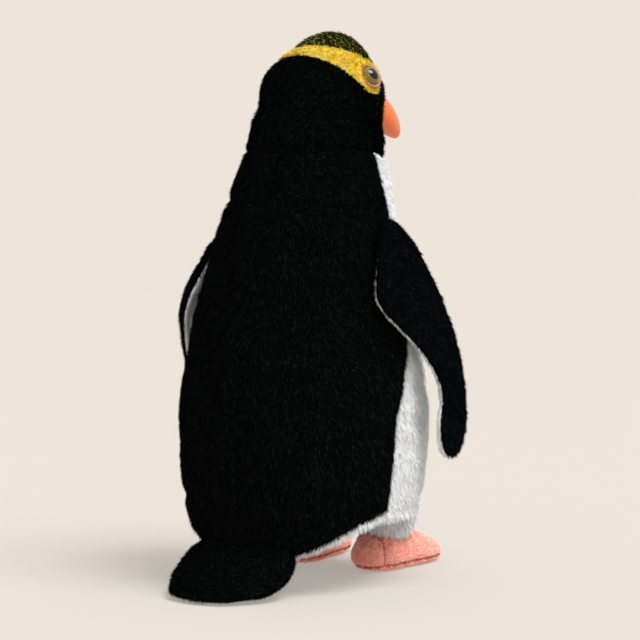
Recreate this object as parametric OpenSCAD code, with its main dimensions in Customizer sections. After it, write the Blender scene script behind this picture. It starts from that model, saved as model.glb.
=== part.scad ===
// Stuffed penguin: sewn fur panels over fibre filling, with soft joints where the seams let it move.
// It faces -Y, its own right hand side is -X, Z is up and the feet and tail stand on Z = 0. Units: mm.

/* [Body] */
// Height of the neck crease above the bottom of the body frame
body_top = 244; // [200:1:280]
// Height of the lowest part of the body
body_bottom = 21; // [18:1:26]
// Height of the underside between the legs
base_front = 39; // [36:0.5:42]
// Largest radius of the body
body_r = 70.3; // [60:0.1:80]
// Forward lean of the body in degrees
lean = 4.1; // [0:0.1:8]
// Thickness of the fur fabric with its pile
fur_t = 3; // [2:0.1:4]

/* [Head] */
// Radius of the neck crease
neck_r = 38; // [34:0.5:40]
// Height of the head above the neck crease
head_h = 72; // [64:0.5:76]
// Forward tilt of the head in degrees
head_tilt = 16; // [8:0.5:20]
// Turn of the head to its right in degrees
head_turn = 16; // [0:1:25]
// Length of the beak beyond the face
beak_len = 31; // [20:1:36]
// Radius of the beak where it meets the face
beak_r = 10.2; // [7:0.1:11]
// Radius of an eye
eye_r = 6; // [4.5:0.1:7.5]

/* [Flippers] */
// Length of a flipper from its seam roll to its tip
flipper_len = 130; // [115:1:140]
// Thickness of a flipper
flipper_t = 7.4; // [6:0.2:9]
// Swing of the right flipper away from the body in degrees
right_tilt = 12; // [11.5:0.5:20]
// Swing of the left flipper away from the body in degrees
left_tilt = 15; // [11.5:0.5:20]

/* [Feet] */
// Distance from the middle of the body to the middle of a heel
heel_x = 26; // [22:0.5:30]
// Distance from heel centre to toe centre
foot_reach = 40; // [32:1:44]
// Height of a foot at the ankle
foot_h = 23; // [19:0.5:24]
// Splay of the feet in degrees
splay = 7; // [0:1:12]

/* [Tail] */
// Width of the tail at its widest
tail_w = 66; // [56:1:74]
// Position of the tail tip behind the middle of the body
tail_tip_y = 96; // [90:1:100]

/* [Hidden] */
$fn = 96;
far = 200;
gap = 0.5;
lean_z = 90;
black = [0.07, 0.08, 0.09];
white = [0.92, 0.91, 0.88];
pink = [0.93, 0.62, 0.56];
yellow = [0.93, 0.78, 0.3];
olive = [0.3, 0.3, 0.12];
orange = [0.9, 0.42, 0.25];
fibre = [0.97, 0.97, 0.95];

// Catmull-Rom curve through the points, with the given number of steps between each pair.
function curve(p, steps) = [for (i = [0:len(p) - 2]) for (s = [0:steps - 1])
    let (t = s / steps, a = p[max(i - 1, 0)], b = p[i], c = p[i + 1], d = p[min(i + 2, len(p) - 1)])
    0.5 * (2 * b + (c - a) * t + (2 * a - 5 * b + 4 * c - d) * t * t + (3 * b - a - 3 * c + d) * t * t * t)];

// Closed Catmull-Rom curve.
function loop_curve(p, steps) = [for (i = [0:len(p) - 1]) for (s = [0:steps - 1])
    let (n = len(p), t = s / steps, a = p[(i + n - 1) % n], b = p[i], c = p[(i + 1) % n], d = p[(i + 2) % n])
    0.5 * (2 * b + (c - a) * t + (2 * a - 5 * b + 4 * c - d) * t * t + (3 * b - a - 3 * c + d) * t * t * t)];

function reversed(p) = [for (i = [len(p) - 1:-1:0]) p[i]];

// Points moved square to an open curve; positive moves to the left of its direction.
function shifted(p, d) = [for (i = [0:len(p) - 1])
    let (v = p[min(i + 1, len(p) - 1)] - p[max(i - 1, 0)], n = [-v[1], v[0]] / norm(v)) p[i] + d * n];

// Moves a piece so that the middle of the toy's footprint box is at the origin.
footprint_shift = [-3.17, -2.17, 0];

module placed() {
    translate(footprint_shift) children();
}

// ---------------------------------------------------------------- body

// Side of the body from the edge of its flat underside up to the neck crease.
body_side = concat(curve([[40, body_bottom], [52, body_bottom + 0.6], [59.5, body_bottom + 4], [63.8, 32],
    [66.4, 43], [68.6, 58], [body_r - 0.3, 76], [body_r, 95], [69.3, 115], [66.3, 138],
    [62.3, 160], [57.5, 180], [52.8, 200], [47.3, 219], [42, 233], [neck_r, body_top]], 2),
    [[neck_r, body_top]]);
body_inside = [for (p = shifted(body_side, fur_t)) [p[0], min(max(p[1], body_bottom + fur_t), body_top)]];

module leaned() {
    placed() translate([0, 0, lean_z]) rotate([lean, 0, 0]) translate([0, 0, -lean_z]) children();
}

// Everything above the underside, which comes down from the legs to the tail and is moved up by lift.
underside = [[-far, base_front], [12, base_front], [29, base_front - 5], [41, 27.5], [50, 19.5], [far, 19.5]];

module above_base(lift) {
    side_prism(concat([for (p = underside) p + [0, lift]], [[far, far + far], [-far, far + far]]),
        -far / 2, far / 2);
}

module body_solid() {
    intersection() {
        rotate_extrude() polygon(concat([[0, body_bottom]], body_side, [[0, body_top]]));
        above_base(0);
    }
}

module body_core() {
    intersection() {
        rotate_extrude() polygon(concat([[0, body_bottom + fur_t]], body_inside, [[0, body_top]]));
        above_base(fur_t);
    }
}

module body_skin() {
    rotate_extrude() polygon(concat([[0, body_bottom]], body_side, reversed(body_inside),
        [[0, body_bottom + fur_t]]));
}

// A slab whose outline is given as [Y, Z] points, spanning X from x0 to x1.
module side_prism(points, x0, x1) {
    translate([x0, 0, 0]) rotate([90, 0, 90]) linear_extrude(x1 - x0) polygon(points);
}

// Where the black back, the white front and the white underside meet, as [Y, Z].
seam_low = [13, base_front + 4.5];
flank_seam = [seam_low, [12, 95], [-2, 138], [-4, body_top + 1]];
base_seam = [[56, 14], [50, 23.5], [41, 31.5], [29, base_front - 0.5], seam_low];
back_region = concat(flank_seam, [[far, body_top + 1], [far, 14]], base_seam);
front_region = concat(flank_seam, [[-far, body_top + 1], [-far, seam_low[1]]]);
base_region = concat(base_seam, [[-far, seam_low[1]], [-far, 0], [far, 0], [far, 14]]);

module body_panel(region, x0, x1, shade) {
    color(shade) leaned() intersection() {
        body_skin();
        side_prism(region, x0, x1);
    }
}

module back_panel_left() body_panel(back_region, 0, far, black);
module back_panel_right() body_panel(back_region, -far, 0, black);
module belly_panel() body_panel(front_region, -far, far, white);

module base_gusset() {
    color(white) leaned() difference() {
        intersection() {
            body_solid();
            side_prism(base_region, -far, far);
        }
        body_core();
    }
}

// The bag of pellets that keeps the toy upright.
pouch_r = 42;
pouch_z = 62;
pouch_h = 30;
pouch_t = 1;

module pouch_shape(inset) {
    r = pouch_h / 2 - inset;
    translate([0, 0, pouch_z]) rotate_extrude() union() {
        translate([0, -r]) square([pouch_r - pouch_h / 2, 2 * r]);
        translate([pouch_r - pouch_h / 2, 0]) intersection() {
            circle(r);
            translate([0, -r]) square(2 * r);
        }
    }
}

// The firmly filled neck of the head, on which it turns in the top of the body.
plug_r = 20;
plug_len = 16;
plug_gap = 0.4;

module neck_plug(grow) {
    at_neck() translate([0, 0, -plug_len - grow]) cylinder(r = plug_r + grow, h = plug_len + grow + 2 * gap);
}

module body_stuffing() {
    color(fibre) difference() {
        leaned() body_core();
        leaned() pouch_shape(0);
        neck_plug(plug_gap);
    }
}

module pellet_pouch() {
    color([0.85, 0.82, 0.74]) leaned() difference() {
        pouch_shape(0);
        pouch_shape(pouch_t);
    }
}

module ballast_pellets() {
    color([0.75, 0.75, 0.78]) leaned() pouch_shape(pouch_t);
}

// ---------------------------------------------------------------- head

head_side = concat(curve([[neck_r - 0.4, -14], [neck_r, 0], [38.6, 10], [37.8, 22], [35, 36],
    [30, 48.5], [23, 59], [14.5, head_h - 5], [6, head_h - 1], [0, head_h]], 3), [[0, head_h]]);
head_inside = [for (p = shifted(head_side, fur_t))
    [max(p[0], 0), min(p[1], head_h - fur_t)]];

module at_neck() {
    leaned() translate([0, 0, body_top]) children();
}

// Frame of the head: origin at the middle of the neck crease, facing -Y.
module head_frame() {
    at_neck() rotate([0, 0, -head_turn]) rotate([head_tilt - lean, 0, 0]) children();
}

module above_neck() {
    at_neck() translate([-far / 2, -far / 2, gap]) cube([far, far, far / 2]);
}

module head_solid() {
    rotate_extrude() polygon(concat([[0, -14]], head_side));
}

module head_core() {
    rotate_extrude() polygon(concat([[0, -14]], head_inside));
}

module head_skin() {
    rotate_extrude() polygon(concat(head_side, reversed(head_inside)));
}

// Edges of the yellow band: level above; below it drops round the eyes and is a narrow brow over the beak.
band_high = 57.5;
band_end = 45;
band_edge = [[-band_end, 53], [-16, 52], [-12, 38], [-3, 35], [band_end, 55.9]];
band_region = concat(band_edge, [[band_end, band_high], [-band_end, band_high]]);

crown_region = [[-far, band_high], [far, band_high], [far, far], [-far, far]];
hood_region = concat([[-far, band_edge[0][1]]], band_edge,
    [[far, band_edge[4][1]], [far, -far], [-far, -far]]);

eye_side = 84;
eye_up = 45.6;
eye_out = 30.9;
eye_pitch = 24;

// Frame of an eye: Z points out of the head through the pupil.
module eye_frame(side) {
    rotate([0, 0, side * eye_side]) translate([0, -eye_out, eye_up])
        rotate([90 - eye_pitch, 0, 0]) children();
}

eye_ball_drop = 3.2;
shank_r = 2;
shank_len = 9;
washer_r = 6;
washer_t = 1.6;

module eye_ball(grow) {
    translate([0, 0, -eye_ball_drop]) sphere(eye_r + 0.9 + grow);
}

module eye_shank(grow) {
    translate([0, 0, -shank_len]) cylinder(r = shank_r + grow, h = shank_len + 1);
}

// The soft lid is a ring let into the fur round the eye.
lid_r = eye_r + 2;
lid_tube = 1.2;
lid_depth = 1.2;

module eye_lid_ring() {
    translate([0, 0, -lid_depth]) rotate_extrude() translate([lid_r, 0]) circle(lid_tube);
}

module eye_washer_ring(grow) {
    translate([0, 0, -shank_len]) cylinder(r = washer_r + grow, h = washer_t);
}

module head_panel(region, x0, x1, shade) {
    color(shade) intersection() {
        above_neck();
        head_frame() difference() {
            intersection() {
                head_skin();
                side_prism(region, x0, x1);
            }
            for (side = [-1, 1]) eye_frame(side) {
                eye_shank(0);
                eye_lid_ring();
            }
        }
    }
}

module hood_panel_left() head_panel(hood_region, 0, far, black);
module hood_panel_right() head_panel(hood_region, -far, 0, black);
module yellow_band() head_panel(band_region, -far, far, yellow);
module crown_panel() head_panel(crown_region, -far, far, olive);

module head_stuffing() {
    color(fibre) union() {
        neck_plug(0);
        head_filling();
    }
}

module head_filling() {
    intersection() {
        above_neck();
        head_frame() difference() {
            head_core();
            for (side = [-1, 1]) eye_frame(side) {
                eye_shank(0);
                eye_washer_ring(0);
                eye_lid_ring();
            }
        }
    }
}

module eye(side) {
    color([0.75, 0.6, 0.25]) head_frame() {
        difference() {
            eye_frame(side) eye_ball(0);
            head_solid();
        }
        eye_frame(side) eye_shank(0);
    }
}

module eyelid(side) {
    color(pink) head_frame() eye_frame(side) eye_lid_ring();
}

module eye_washer(side) {
    color([0.9, 0.9, 0.9]) head_frame() eye_frame(side) difference() {
        eye_washer_ring(0);
        translate([0, 0, -shank_len - 1]) cylinder(r = shank_r, h = washer_t + 2);
    }
}

module eye_left() eye(1);
module eye_right() eye(-1);
module eyelid_left() eyelid(1);
module eyelid_right() eyelid(-1);
module eye_washer_left() eye_washer(1);
module eye_washer_right() eye_washer(-1);

// Frame of the beak: Z runs from the face to its tip.
beak_up = 42.5;
beak_droop = 2;
face_r = 33;
beak_base_len = 5;

module beak_frame() {
    head_frame() translate([0, -face_r, beak_up]) rotate([90 + beak_droop, 0, 0]) children();
}

beak_side = concat([[0, -5], [beak_r, -5]], curve([[beak_r, 0], [beak_r - 0.5, 7], [beak_r - 1.9, 15],
    [beak_r - 4.2, 22], [beak_r - 7.2, beak_len - 2.5], [0, beak_len]], 3), [[0, beak_len]]);

module beak_piece(z0, z1, top, bottom, shade) {
    color(shade) difference() {
        beak_frame() intersection() {
            rotate_extrude() polygon(beak_side);
            translate([-far / 2, bottom, z0]) cube([far, top - bottom, z1 - z0]);
        }
        head_frame() head_solid();
    }
}

beak_split = -2;

module beak_base() beak_piece(-5, beak_base_len, far / 2, -far / 2, pink);
module upper_beak() beak_piece(beak_base_len, far / 2, far / 2, beak_split, orange);
module lower_beak() beak_piece(beak_base_len, far / 2, beak_split, -far / 2, orange);

// ---------------------------------------------------------------- flippers

shoulder = [59.5, -8, 200];
flipper_yaw = 10;
seam_roll_r = 5.6;
seam_roll_len = 18;
seam_roll_start = -17;
panel_t = 2.4;
outline_scale = flipper_len / 130;

// Outline as [towards the front edge, down from the seam], for a flipper 130 long.
flipper_outline = loop_curve([[-14, 7.5], [-3, 7.4], [6, 12], [15, 26], [24, 43], [30.5, 66], [31, 98],
    [27, 114], [18, 127], [9.5, 130], [3, 124], [5, 110], [9, 94], [1, 78], [-13, 62],
    [-26, 48], [-28, 38], [-23, 22]], 3);

// Turns X to the front, Y down and Z out from the body.
flipper_axes = [[0, 0, 1, 0], [-1, 0, 0, 0], [0, -1, 0, 0], [0, 0, 0, 1]];

// Frame of a flipper: X runs to its front edge, Y down its length, Z out from the body.
module flipper_frame(side) {
    placed() mirror([side < 0 ? 1 : 0, 0, 0]) translate(shoulder) rotate([0, 0, flipper_yaw])
        rotate([0, side < 0 ? -right_tilt : -left_tilt, 0]) multmatrix(flipper_axes) children();
}

module flipper_layer(side, z0, z1, shade) {
    color(shade) flipper_frame(side) translate([0, 0, z0]) linear_extrude(z1 - z0)
        polygon(outline_scale * flipper_outline);
}

module flipper_back(side) flipper_layer(side, flipper_t / 2 - panel_t, flipper_t / 2, black);
module flipper_lining(side) flipper_layer(side, -flipper_t / 2, panel_t - flipper_t / 2, white);
module flipper_padding(side) flipper_layer(side, panel_t - flipper_t / 2, flipper_t / 2 - panel_t, fibre);

// The seam roll that joins a flipper to the side of the body.
module shoulder_seam(side) {
    color(black) difference() {
        flipper_frame(side) translate([seam_roll_start, 0, 0]) rotate([0, 90, 0])
            cylinder(r = seam_roll_r, h = seam_roll_len);
        leaned() body_solid();
    }
}

module shoulder_seam_left() shoulder_seam(1);
module shoulder_seam_right() shoulder_seam(-1);
module flipper_back_left() flipper_back(1);
module flipper_lining_left() flipper_lining(1);
module flipper_padding_left() flipper_padding(1);
module flipper_back_right() flipper_back(-1);
module flipper_lining_right() flipper_lining(-1);
module flipper_padding_right() flipper_padding(-1);

// ---------------------------------------------------------------- feet

heel_y = -38;
heel_r = 13;
toe_r = 14;
toe_h = 13;
foot_skin = 2;
sole_t = 2;

module foot_frame(side) {
    placed() translate([side * heel_x, heel_y, 0]) rotate([0, 0, side * splay]) children();
}

function arc(c, r, a0, a1, n) = [for (i = [0:n]) let (a = a0 + (a1 - a0) * i / n) c + r * [cos(a), sin(a)]];

module foot_plan(inset) {
    polygon(concat(arc([0, 0], heel_r - inset, 0, 180, 16),
        arc([0, -foot_reach], toe_r - inset, 180, 360, 16)));
}

// Side view of a foot as [Y, Z], from the heel over the ankle to the toe.
function foot_profile(inset) = [[heel_r + 2, sole_t], [heel_r + 2, foot_h - 5 - inset],
    [heel_r - 3, foot_h - inset],
    [-12, foot_h - inset], [-24, foot_h - 4.5 - inset], [-foot_reach, toe_h - inset],
    [-foot_reach - 9, toe_h - 3 - inset], [-foot_reach - toe_r - 1, 5 - inset],
    [-foot_reach - toe_r - 1, sole_t]];

module foot_shape(inset) {
    intersection() {
        linear_extrude(foot_h + 1) foot_plan(inset);
        side_prism(foot_profile(inset), -far / 2, far / 2);
    }
}

// The fur shell of a foot between two Y positions; the heel seam is just behind the heel centre.
heel_seam_y = 6;

module foot_shell(side, y0, y1) {
    color(pink) foot_frame(side) difference() {
        intersection() {
            foot_shape(0);
            translate([-far / 2, y0, 0]) cube([far, y1 - y0, far]);
        }
        foot_shape(foot_skin);
    }
}

module foot_sole(side) {
    color(pink) foot_frame(side) linear_extrude(sole_t) foot_plan(0);
}

module foot_stuffing(side) {
    color(fibre) foot_frame(side) foot_shape(foot_skin);
}

// The fluffy white ring above a foot.
cuff_r = 14.5;
cuff_x = 29;
cuff_y = -46;
cuff_low = 16;
cuff_top = 42;

module leg_cuff(side) {
    color(white) difference() {
        placed() translate([side * cuff_x, cuff_y, cuff_low]) cylinder(r = cuff_r, h = cuff_top - cuff_low);
        leaned() body_solid();
        foot_frame(side) foot_shape(0);
    }
}

module foot_upper_left() foot_shell(1, -far, heel_seam_y);
module foot_heel_left() foot_shell(1, heel_seam_y, far);
module foot_sole_left() foot_sole(1);
module foot_stuffing_left() foot_stuffing(1);
module foot_upper_right() foot_shell(-1, -far, heel_seam_y);
module foot_heel_right() foot_shell(-1, heel_seam_y, far);
module foot_sole_right() foot_sole(-1);
module foot_stuffing_right() foot_stuffing(-1);
module leg_cuff_left() leg_cuff(1);
module leg_cuff_right() leg_cuff(-1);

// ---------------------------------------------------------------- tail

tail_pivot = [61, 24];
tail_roll_r = 4;
tail_roll_len = 50;
tail_t = 2.4;
tail_seam_z = 5;
tail_root_y = 49;

// Side view of the tail as [Y, Z].
tail_profile = [[66, 26], [73, 22], [80, 15.5], [tail_tip_y - 3, 8], [tail_tip_y, 4], [tail_tip_y, 1.5],
    [tail_tip_y - 2, 0], [tail_root_y + 2, 0], [tail_root_y, 3], [tail_root_y, 15],
    [54, 19], [60, 18.6], [65, 21]];
tail_core = [[72, 19.5], [78.5, 13.5], [tail_tip_y - 5.5, 6.5], [tail_tip_y - 4, tail_t],
    [tail_root_y + 2.5, tail_t], [tail_root_y + 2.5, 14], [55, 16.4], [61, 16.2], [67, 19]];

module tail_plan(inset) {
    w = tail_w / 2 - inset;
    polygon(curve([[-w + 4, tail_root_y - 2], [-w + 2, 62], [-w, 76], [-w + 5, tail_tip_y - 6 - inset / 2],
        [-w + 15, tail_tip_y - inset], [0, tail_tip_y + 0.5 - inset], [w - 15, tail_tip_y - inset],
        [w - 5, tail_tip_y - 6 - inset / 2], [w, 76], [w - 2, 62], [w - 4, tail_root_y - 2],
        [w - 4, tail_root_y - 3]], 3));
}

module tail_solid() {
    intersection() {
        linear_extrude(40) tail_plan(0);
        side_prism(tail_profile, -far / 2, far / 2);
    }
}

module tail_inside() {
    intersection() {
        linear_extrude(40) tail_plan(tail_t);
        side_prism(tail_core, -far / 2, far / 2);
    }
}

module tail_shell(z0, z1) {
    color(black) placed() difference() {
        intersection() {
            tail_solid();
            translate([-far / 2, 0, z0]) cube([far, far, z1 - z0]);
        }
        tail_inside();
    }
}

module tail_top() tail_shell(tail_seam_z, far);
module tail_underside() tail_shell(-1, tail_seam_z);

module tail_stuffing() {
    color(fibre) placed() tail_inside();
}

module tail_seam() {
    color(black) difference() {
        placed() translate([-tail_roll_len / 2, tail_pivot[0], tail_pivot[1]]) rotate([0, 90, 0])
            cylinder(r = tail_roll_r, h = tail_roll_len);
        leaned() body_solid();
    }
}

// ---------------------------------------------------------------- nodes

back_panel_left();
back_panel_right();
belly_panel();
base_gusset();
body_stuffing();
pellet_pouch();
ballast_pellets();
leg_cuff_left();
leg_cuff_right();
shoulder_seam_left();
shoulder_seam_right();
tail_seam();
hood_panel_left();
hood_panel_right();
yellow_band();
crown_panel();
head_stuffing();
beak_base();
upper_beak();
lower_beak();
eye_left();
eye_right();
eyelid_left();
eyelid_right();
eye_washer_left();
eye_washer_right();
flipper_back_left();
flipper_lining_left();
flipper_padding_left();
flipper_back_right();
flipper_lining_right();
flipper_padding_right();
tail_top();
tail_underside();
tail_stuffing();
foot_upper_left();
foot_heel_left();
foot_sole_left();
foot_stuffing_left();
foot_upper_right();
foot_heel_right();
foot_sole_right();
foot_stuffing_right();
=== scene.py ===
import math

import bmesh
import bpy
import numpy as np
from mathutils import Matrix, Vector, noise


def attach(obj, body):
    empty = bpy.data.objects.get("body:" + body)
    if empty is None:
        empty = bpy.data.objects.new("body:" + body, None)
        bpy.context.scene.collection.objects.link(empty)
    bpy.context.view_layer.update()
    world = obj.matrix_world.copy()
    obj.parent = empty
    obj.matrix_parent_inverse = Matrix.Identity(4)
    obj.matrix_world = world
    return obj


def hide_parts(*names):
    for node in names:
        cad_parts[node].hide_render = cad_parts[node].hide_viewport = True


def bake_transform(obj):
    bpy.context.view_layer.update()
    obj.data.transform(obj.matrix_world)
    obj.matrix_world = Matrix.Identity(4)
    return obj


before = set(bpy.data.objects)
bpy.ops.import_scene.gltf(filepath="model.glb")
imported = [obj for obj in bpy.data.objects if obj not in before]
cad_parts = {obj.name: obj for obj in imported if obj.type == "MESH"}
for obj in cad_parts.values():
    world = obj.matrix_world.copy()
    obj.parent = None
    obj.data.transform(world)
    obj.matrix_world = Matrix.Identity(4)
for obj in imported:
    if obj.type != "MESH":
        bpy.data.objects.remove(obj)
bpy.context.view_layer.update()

# All lengths below are in millimetres, in the frame of the CAD part; MM turns them into metres.
MM = 0.001
SHIFT = np.array([-3.17, -2.17, 0.0])
LEAN = 4.1
LEAN_Z = 90.0
BODY_TOP = 244.0
HEAD_TILT = 16.0
HEAD_TURN = 16.0
X_AXIS, Y_AXIS, Z_AXIS = np.eye(3)


# ------------------------------------------------------------------ small maths

def rot(axis, degrees):
    return np.array(Matrix.Rotation(math.radians(degrees), 3, axis))


class Frame:
    """A rigid frame: world = M @ local + o, in millimetres."""

    def __init__(self, m, o):
        self.m = np.array(m, float)
        self.o = np.array(o, float)

    def out(self, p):
        return np.asarray(p, float) @ self.m.T + self.o

    def into(self, p):
        return (np.asarray(p, float) - self.o) @ self.m

    def turn(self, v):
        return np.asarray(v, float) @ self.m.T

    def then(self, m, o):
        return Frame(self.m @ m, self.out(o))


def smoothstep(x, a, b):
    t = np.clip((x - a) / (b - a), 0, 1)
    return t * t * (3 - 2 * t)


def bump(x, width):
    return np.exp(-(x / width) ** 2)


def spline(points, n):
    """n points along a Catmull-Rom curve through the given ones."""
    p = np.array(points, float)
    p = np.vstack([2 * p[0] - p[1], p, 2 * p[-1] - p[-2]])
    t = np.linspace(0, len(points) - 1, n)
    i = np.minimum(t.astype(int), len(points) - 2)
    f = (t - i)[:, None]
    a, b, c, d = p[i], p[i + 1], p[i + 2], p[i + 3]
    return 0.5 * (2 * b + (c - a) * f + (2 * a - 5 * b + 4 * c - d) * f ** 2
                  + (3 * b - a - 3 * c + d) * f ** 3)


def fractal(points, scale, seed, octaves=3):
    """Smooth noise from -1 to 1 at each point; scale is its size in mm."""
    offset = Vector((seed * 17.3, seed * 5.7, seed * 11.1))
    return np.array([noise.fractal(Vector(p) / scale + offset, 0.6, 2.0, octaves) for p in points])


# ------------------------------------------------------------------ frames of the pieces

BODY = Frame(rot("X", LEAN), SHIFT + [0, 0, LEAN_Z] - rot("X", LEAN) @ [0, 0, LEAN_Z])
HEAD = BODY.then(rot("Z", -HEAD_TURN) @ rot("X", HEAD_TILT - LEAN), [0, 0, BODY_TOP])


# ------------------------------------------------------------------ mesh helpers

def new_object(name, verts, faces, smooth=True):
    """A mesh object from points in mm. faces is an array of equal faces or a list of any."""
    mesh = bpy.data.meshes.new(name)
    if isinstance(faces, np.ndarray):
        n, k = faces.shape
        mesh.vertices.add(len(verts))
        mesh.vertices.foreach_set("co", (np.asarray(verts, float) * MM).astype(np.float32).ravel())
        mesh.loops.add(n * k)
        mesh.loops.foreach_set("vertex_index", faces.astype(np.int32).ravel())
        mesh.polygons.add(n)
        mesh.polygons.foreach_set("loop_start", np.arange(0, n * k, k, dtype=np.int32))
        mesh.update(calc_edges=True)
    else:
        mesh.from_pydata([tuple(np.asarray(v) * MM) for v in verts], [], faces)
    mesh.validate()
    if smooth:
        mesh.polygons.foreach_set("use_smooth", np.ones(len(mesh.polygons), bool))
    ob = bpy.data.objects.new(name, mesh)
    bpy.context.scene.collection.objects.link(ob)
    return ob


def coords(ob):
    a = np.empty(len(ob.data.vertices) * 3)
    ob.data.vertices.foreach_get("co", a)
    return a.reshape(-1, 3) / MM


def set_coords(ob, p):
    ob.data.vertices.foreach_set("co", (p * MM).ravel())
    ob.data.update()


def normals(ob):
    a = np.empty(len(ob.data.vertices) * 3)
    ob.data.vertices.foreach_get("normal", a)
    return a.reshape(-1, 3)


def apply_modifiers(ob):
    graph = bpy.context.evaluated_depsgraph_get()
    mesh = bpy.data.meshes.new_from_object(ob.evaluated_get(graph))
    ob.modifiers.clear()
    ob.data = mesh


def join(name, obs):
    """One object holding the meshes of several, which are removed."""
    bm = bmesh.new()
    for ob in obs:
        bm.from_mesh(ob.data)
        bpy.data.objects.remove(ob)
    mesh = bpy.data.meshes.new(name)
    bm.to_mesh(mesh)
    bm.free()
    out = bpy.data.objects.new(name, mesh)
    bpy.context.scene.collection.objects.link(out)
    return out


def revolve(name, profile, place, segments=96, squash=None):
    """A closed solid of revolution about Z from [r, z] points that start and end on the axis."""
    p = np.array(profile, float)
    ring = np.linspace(0, 2 * math.pi, segments, endpoint=False)
    verts = [[0, 0, p[0][1]]]
    for r, z in p[1:-1]:
        verts += [[r * math.cos(a), r * math.sin(a), z] for a in ring]
    verts.append([0, 0, p[-1][1]])
    verts = np.array(verts)
    if squash is not None:
        verts = squash(verts)
    n = len(p) - 2
    faces = [[0, 1 + (j + 1) % segments, 1 + j] for j in range(segments)]
    for i in range(n - 1):
        a = 1 + i * segments
        b = a + segments
        faces += [[a + j, a + (j + 1) % segments, b + (j + 1) % segments, b + j] for j in range(segments)]
    last = len(verts) - 1
    a = 1 + (n - 1) * segments
    faces += [[a + j, a + (j + 1) % segments, last] for j in range(segments)]
    return new_object(name, place.out(verts), faces)


def remesh(ob, voxel, smooth=6):
    mod = ob.modifiers.new("remesh", "REMESH")
    mod.mode = "VOXEL"
    mod.voxel_size = voxel * MM
    mod = ob.modifiers.new("smooth", "SMOOTH")
    mod.factor = 0.5
    mod.iterations = smooth
    apply_modifiers(ob)


def subdivide(ob, levels):
    mod = ob.modifiers.new("subdivide", "SUBSURF")
    mod.levels = levels
    apply_modifiers(ob)


def inflate(ob, held, pressure, grow, cap, frames=20):
    """Fills a closed cloth form. held is how firmly each point is held, grow the extra cloth."""
    before = coords(ob)
    group = ob.vertex_groups.new(name="held")
    for i, w in enumerate(held):
        if w > 0.01:
            group.add([i], float(w), "REPLACE")
    mod = ob.modifiers.new("cloth", "CLOTH")
    s = mod.settings
    s.quality = 5
    s.mass = 0.3
    s.tension_stiffness = 15
    s.compression_stiffness = 15
    s.bending_stiffness = 0.3
    s.use_pressure = True
    s.uniform_pressure_force = pressure
    s.effector_weights.gravity = 0
    s.vertex_group_mass = "held"
    s.shrink_min = -grow
    mod.point_cache.frame_start = 1
    mod.point_cache.frame_end = frames
    scene = bpy.context.scene
    for f in range(1, frames + 1):
        scene.frame_set(f)
    graph = bpy.context.evaluated_depsgraph_get()
    a = np.empty(len(before) * 3)
    ob.evaluated_get(graph).data.vertices.foreach_get("co", a)
    move = a.reshape(-1, 3) / MM - before
    length = np.linalg.norm(move, axis=1, keepdims=True)
    move *= np.minimum(1, cap / np.maximum(length, 1e-6))
    ob.modifiers.clear()
    ob.vertex_groups.clear()
    set_coords(ob, before + move)
    scene.frame_set(1)


# ------------------------------------------------------------------ camera, light, floor

CAM_AZ = 212.0
CAM_DIST = 900.0
CAM_Z = 165.0
CAM_LENS = 88.0
AIM_SIDE = 8.9
AIM_Z = 147.7


def add_camera():
    a = math.radians(CAM_AZ)
    back = np.array([math.sin(a), -math.cos(a), 0])
    side = np.array([math.cos(a), math.sin(a), 0])
    eye = SHIFT + CAM_DIST * back + [0, 0, CAM_Z]
    aim = SHIFT + AIM_SIDE * side + [0, 0, AIM_Z]
    cam = bpy.data.cameras.new("camera")
    cam.lens = CAM_LENS
    cam.sensor_width = 36
    ob = bpy.data.objects.new("camera", cam)
    bpy.context.scene.collection.objects.link(ob)
    ob.location = Vector(eye * MM)
    ob.rotation_euler = Vector((aim - eye) * MM).to_track_quat("-Z", "Y").to_euler()
    bpy.context.scene.camera = ob


# Linear colour of the studio paper as it is seen, and how much of it shadows can dim.
PAPER = np.array([0.845, 0.782, 0.702])
PAPER_REFLECTS = 0.37
SUN_AT = (-0.55, 0.0, 1.0)
SUN_POWER = 3.1
SUN_SOFT = 34.0
SUN_TINT = np.array([0.97, 1.0, 1.05])


def add_floor():
    """A pale sweep that glows a little, so that it matches the backdrop and shadows stay faint."""
    up = SUN_AT[2] / math.sqrt(sum(c * c for c in SUN_AT))
    light = PAPER + SUN_POWER * up / math.pi * SUN_TINT
    reflects = PAPER_REFLECTS * PAPER
    mat = bpy.data.materials.new("floor_paper")
    mat.use_nodes = True
    shader = mat.node_tree.nodes["Principled BSDF"]
    shader.inputs["Base Color"].default_value = (*reflects, 1)
    shader.inputs["Roughness"].default_value = 1.0
    shader.inputs["Specular IOR Level"].default_value = 0.0
    shader.inputs["Emission Color"].default_value = (*(PAPER - reflects * light), 1)
    shader.inputs["Emission Strength"].default_value = 1.0
    mesh = bpy.data.meshes.new("floor")
    r = 30.0
    mesh.from_pydata([(-r, -r, 0), (r, -r, 0), (r, r, 0), (-r, r, 0)], [], [(0, 1, 2, 3)])
    ob = bpy.data.objects.new("floor", mesh)
    bpy.context.scene.collection.objects.link(ob)
    mesh.materials.append(mat)


def add_world():
    world = bpy.data.worlds.new("studio")
    world.use_nodes = True
    world.node_tree.nodes["Background"].inputs[0].default_value = (*PAPER, 1)
    world.node_tree.nodes["Background"].inputs[1].default_value = 1.0
    bpy.context.scene.world = world


def add_sun():
    lamp = bpy.data.lights.new("soft_sun", "SUN")
    lamp.energy = SUN_POWER
    lamp.angle = math.radians(SUN_SOFT)
    lamp.color = SUN_TINT
    ob = bpy.data.objects.new("soft_sun", lamp)
    bpy.context.scene.collection.objects.link(ob)
    ob.rotation_euler = Vector(SUN_AT).to_track_quat("Z", "Y").to_euler()


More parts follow.
